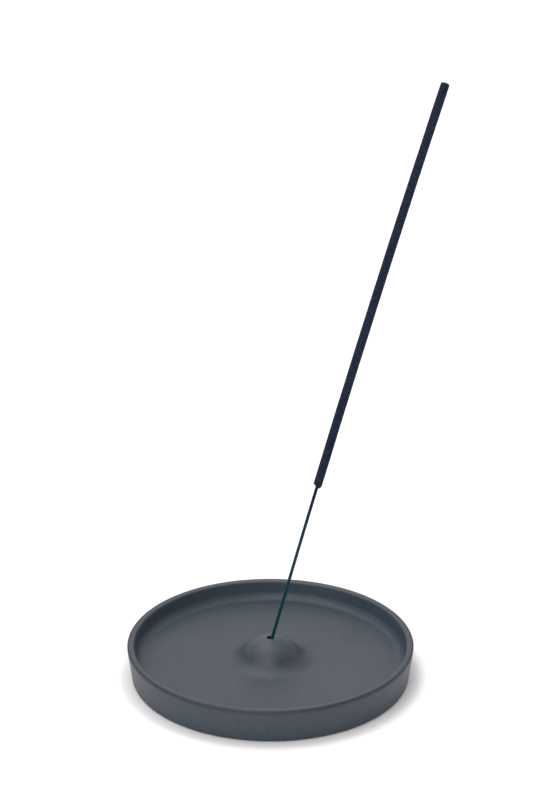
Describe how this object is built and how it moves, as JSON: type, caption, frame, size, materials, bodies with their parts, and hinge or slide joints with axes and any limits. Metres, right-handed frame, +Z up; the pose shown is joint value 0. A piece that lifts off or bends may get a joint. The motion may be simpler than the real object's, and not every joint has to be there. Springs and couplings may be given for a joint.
{
  "type": "incense burner",
  "caption": "Shallow round ceramic dish with a domed centre whose small hole holds a leaning incense stick; the stick lifts out.",
  "frame": {"origin": "on the dish's axis, level with the flat ring of the foot that stands on the table", "axes": "+Z up along the dish's axis, +X towards the side the incense stick leans to"},
  "size_m": [0.1302, 0.12, 0.2627],
  "materials": {
    "glaze": "satin",
    "bamboo": "matte",
    "incense": "matte"
  },
  "bodies": {
    "dish": {"dish": "glaze"},
    "incense_stick": {"bamboo_core": "bamboo", "incense_coat": "incense"}
  },
  "joints": [
    {"name": "stick_lift", "type": "slide", "parent": "dish", "child": "incense_stick", "axis": [0.2487, 0, 0.9686], "range_m": [0, 0.04]}
  ]
}
